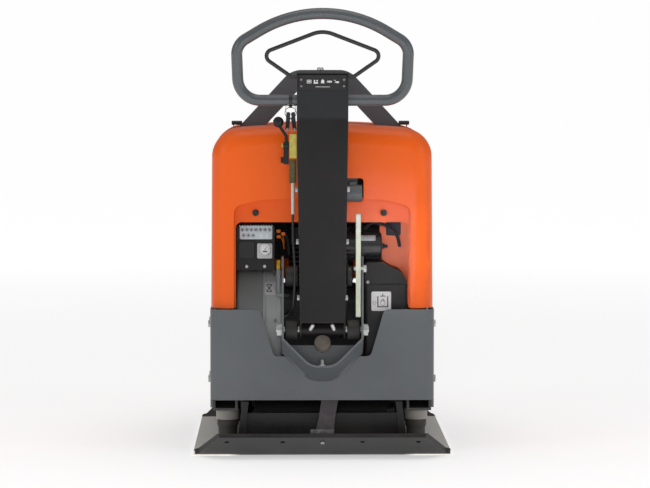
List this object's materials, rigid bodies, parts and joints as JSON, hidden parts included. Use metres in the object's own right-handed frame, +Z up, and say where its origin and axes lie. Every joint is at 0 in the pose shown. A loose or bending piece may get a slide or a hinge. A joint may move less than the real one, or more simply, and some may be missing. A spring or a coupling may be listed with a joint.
{
  "type": "plate compactor",
  "caption": "Reversible plate compactor: a steel base plate with a twin-shaft exciter under a rubber-mounted frame, engine, hood, lifting bow and folding handle.",
  "frame": {"origin": "on the ground under the middle of the base plate", "axes": "+Z up, +X to the right of the operator, who stands behind the machine and looks along +Y"},
  "size_m": [0.65, 0.877, 1.1249],
  "materials": {
    "plate_black": "semi-gloss black paint, scuffed",
    "zinc_steel": "zinc plated, bright",
    "dark_steel": "turned and oiled",
    "pulley_iron": "turned, dull",
    "mount_rubber": "moulded black rubber",
    "buffer_rubber": "worn brown-gray rubber",
    "belt_rubber": "cloth backed belt rubber",
    "strap_webbing": "black woven webbing",
    "frame_gray": "satin gray powder coat",
    "bow_gray": "satin dark gray powder coat",
    "tube_gray": "satin gray powder coat",
    "beam_black": "satin black powder coat",
    "panel_black": "fine grain",
    "hood_orange": "satin moulded plastic",
    "engine_black": "painted casting",
    "engine_alloy": "as cast",
    "shroud_gray": "silver gray enamel",
    "starter_black": "gloss black enamel",
    "tank_black": "moulded polyethylene",
    "box_black": "fine grain",
    "meter_silver": "silver bezel, white dial",
    "muffler_steel": "heat stained",
    "lever_black": "moulded, glossy",
    "rod_black": "black powder coat",
    "yellow_zinc": "yellow passivated zinc",
    "green_zinc": "pale passivated zinc",
    "dipstick_yellow": "moulded",
    "line_black": "hose and cable sheath",
    "key_black": "moulded key heads on a wire ring"
  },
  "bodies": {
    "base": {"base_plate": "plate_black", "base_ribs": "plate_black", "exciter_housing": "plate_black", "exciter_covers": "plate_black", "exciter_bearings": "dark_steel", "strap_clamps": "zinc_steel", "rubber_mounts": "mount_rubber", "limit_straps": "strap_webbing"},
    "frame": {"deck_plate": "frame_gray", "side_rails": "frame_gray", "rear_bumper": "frame_gray", "front_bumper": "frame_gray", "side_guards": "frame_gray", "lifting_bow": "bow_gray", "handle_yoke": "frame_gray", "pivot_shaft": "zinc_steel", "stop_buffer": "buffer_rubber", "latch_bar": "frame_gray", "rear_hood": "hood_orange", "engine_block": "engine_black", "engine_cylinder": "engine_alloy", "fan_shroud": "shroud_gray", "belt_guard": "beam_black", "starter_motor": "starter_black", "hydraulic_tank": "tank_black", "tank_lid": "tank_black", "control_box": "box_black", "hour_meter": "meter_silver", "muffler": "muffler_steel", "fuel_tank": "tank_black", "battery": "box_black", "air_filter": "tank_black", "frame_lines": "line_black", "frame_bolts": "zinc_steel", "drive_belt": "belt_rubber"},
    "rear_exciter": {"rear_exciter_shaft": "dark_steel", "rear_exciter_gear": "dark_steel", "exciter_pulley": "pulley_iron"},
    "front_exciter": {"front_exciter_shaft": "dark_steel", "front_exciter_gear": "dark_steel"},
    "crank": {"crankshaft": "dark_steel", "flywheel": "pulley_iron", "clutch_pulley": "pulley_iron"},
    "nose_hood": {"front_hood": "hood_orange"},
    "left_latch": {"hood_latch_left": "mount_rubber"},
    "right_latch": {"hood_latch_right": "mount_rubber"},
    "dipstick": {"dipstick": "dipstick_yellow"},
    "fuel_cap": {"fuel_cap": "tank_black"},
    "handle": {"handle_beam": "beam_black", "handle_bushes": "mount_rubber", "handle_loop": "tube_gray", "console": "panel_black", "control_valve": "rod_black", "throttle_bracket": "yellow_zinc", "handle_lines": "line_black", "handle_bolts": "zinc_steel"},
    "travel_lever": {"control_loop": "rod_black"},
    "throttle": {"throttle_lever": "lever_black"},
    "keys": {"keys": "key_black"},
    "lock": {"lock_bar": "green_zinc"}
  },
  "joints": [
    {"name": "bounce", "type": "slide", "parent": "base", "child": "frame", "axis": [0, 0, 1], "range_m": [-0.006, 0.006], "stiffness_N_per_m": 600000, "springref_m": 0.0033, "deforming": ["rubber_mounts", "limit_straps", "drive_belt"]},
    {"name": "crank_turn", "type": "hinge", "parent": "frame", "child": "crank", "pos_m": [0, -0.073, 0.316], "axis": [1, 0, 0], "continuous": true},
    {"name": "rear_exciter_turn", "type": "hinge", "parent": "base", "child": "rear_exciter", "pos_m": [0, -0.073, 0.082], "axis": [1, 0, 0], "continuous": true},
    {"name": "front_exciter_turn", "type": "hinge", "parent": "base", "child": "front_exciter", "pos_m": [0, 0.037, 0.082], "axis": [1, 0, 0], "continuous": true},
    {"name": "handle_fold", "type": "hinge", "parent": "frame", "child": "handle", "pos_m": [0, -0.388, 0.322], "axis": [1, 0, 0], "range_deg": [0, 70]},
    {"name": "travel_rock", "type": "hinge", "parent": "handle", "child": "travel_lever", "pos_m": [0, -0.409, 0.955], "axis": [1, 0, 0], "range_deg": [-20, 20]},
    {"name": "throttle_turn", "type": "hinge", "parent": "handle", "child": "throttle", "pos_m": [-0.09, -0.4, 0.784], "axis": [1, 0, 0], "range_deg": [-25, 25]},
    {"name": "key_swing", "type": "hinge", "parent": "handle", "child": "keys", "pos_m": [-0.0795, -0.398, 0.896], "axis": [1, 0, 0], "range_deg": [-30, 30]},
    {"name": "lock_swing", "type": "hinge", "parent": "frame", "child": "lock", "pos_m": [0.089, -0.416, 0.477], "axis": [1, 0, 0], "range_deg": [0, 45]},
    {"name": "hood_open", "type": "hinge", "parent": "frame", "child": "nose_hood", "pos_m": [0, 0.352, 0.38], "axis": [1, 0, 0], "range_deg": [-70, 0]},
    {"name": "left_latch_lift", "type": "hinge", "parent": "nose_hood", "child": "left_latch", "pos_m": [-0.22, 0.036, 0.834], "axis": [1, 0, 0], "range_deg": [-80, 0]},
    {"name": "right_latch_lift", "type": "hinge", "parent": "nose_hood", "child": "right_latch", "pos_m": [0.22, 0.036, 0.834], "axis": [1, 0, 0], "range_deg": [-80, 0]},
    {"name": "dipstick_pull", "type": "slide", "parent": "frame", "child": "dipstick", "axis": [0, 0, 1], "range_m": [0, 0.06]},
    {"name": "cap_turn", "type": "hinge", "parent": "frame", "child": "fuel_cap", "pos_m": [-0.12, 0.15, 0.786], "axis": [0, 0, 1], "range_deg": [0, 120]}
  ],
  "couplings": [
    {"joint": "rear_exciter_turn", "follows": "crank_turn", "ratio": 1.1458},
    {"joint": "front_exciter_turn", "follows": "crank_turn", "ratio": -1.1458}
  ]
}
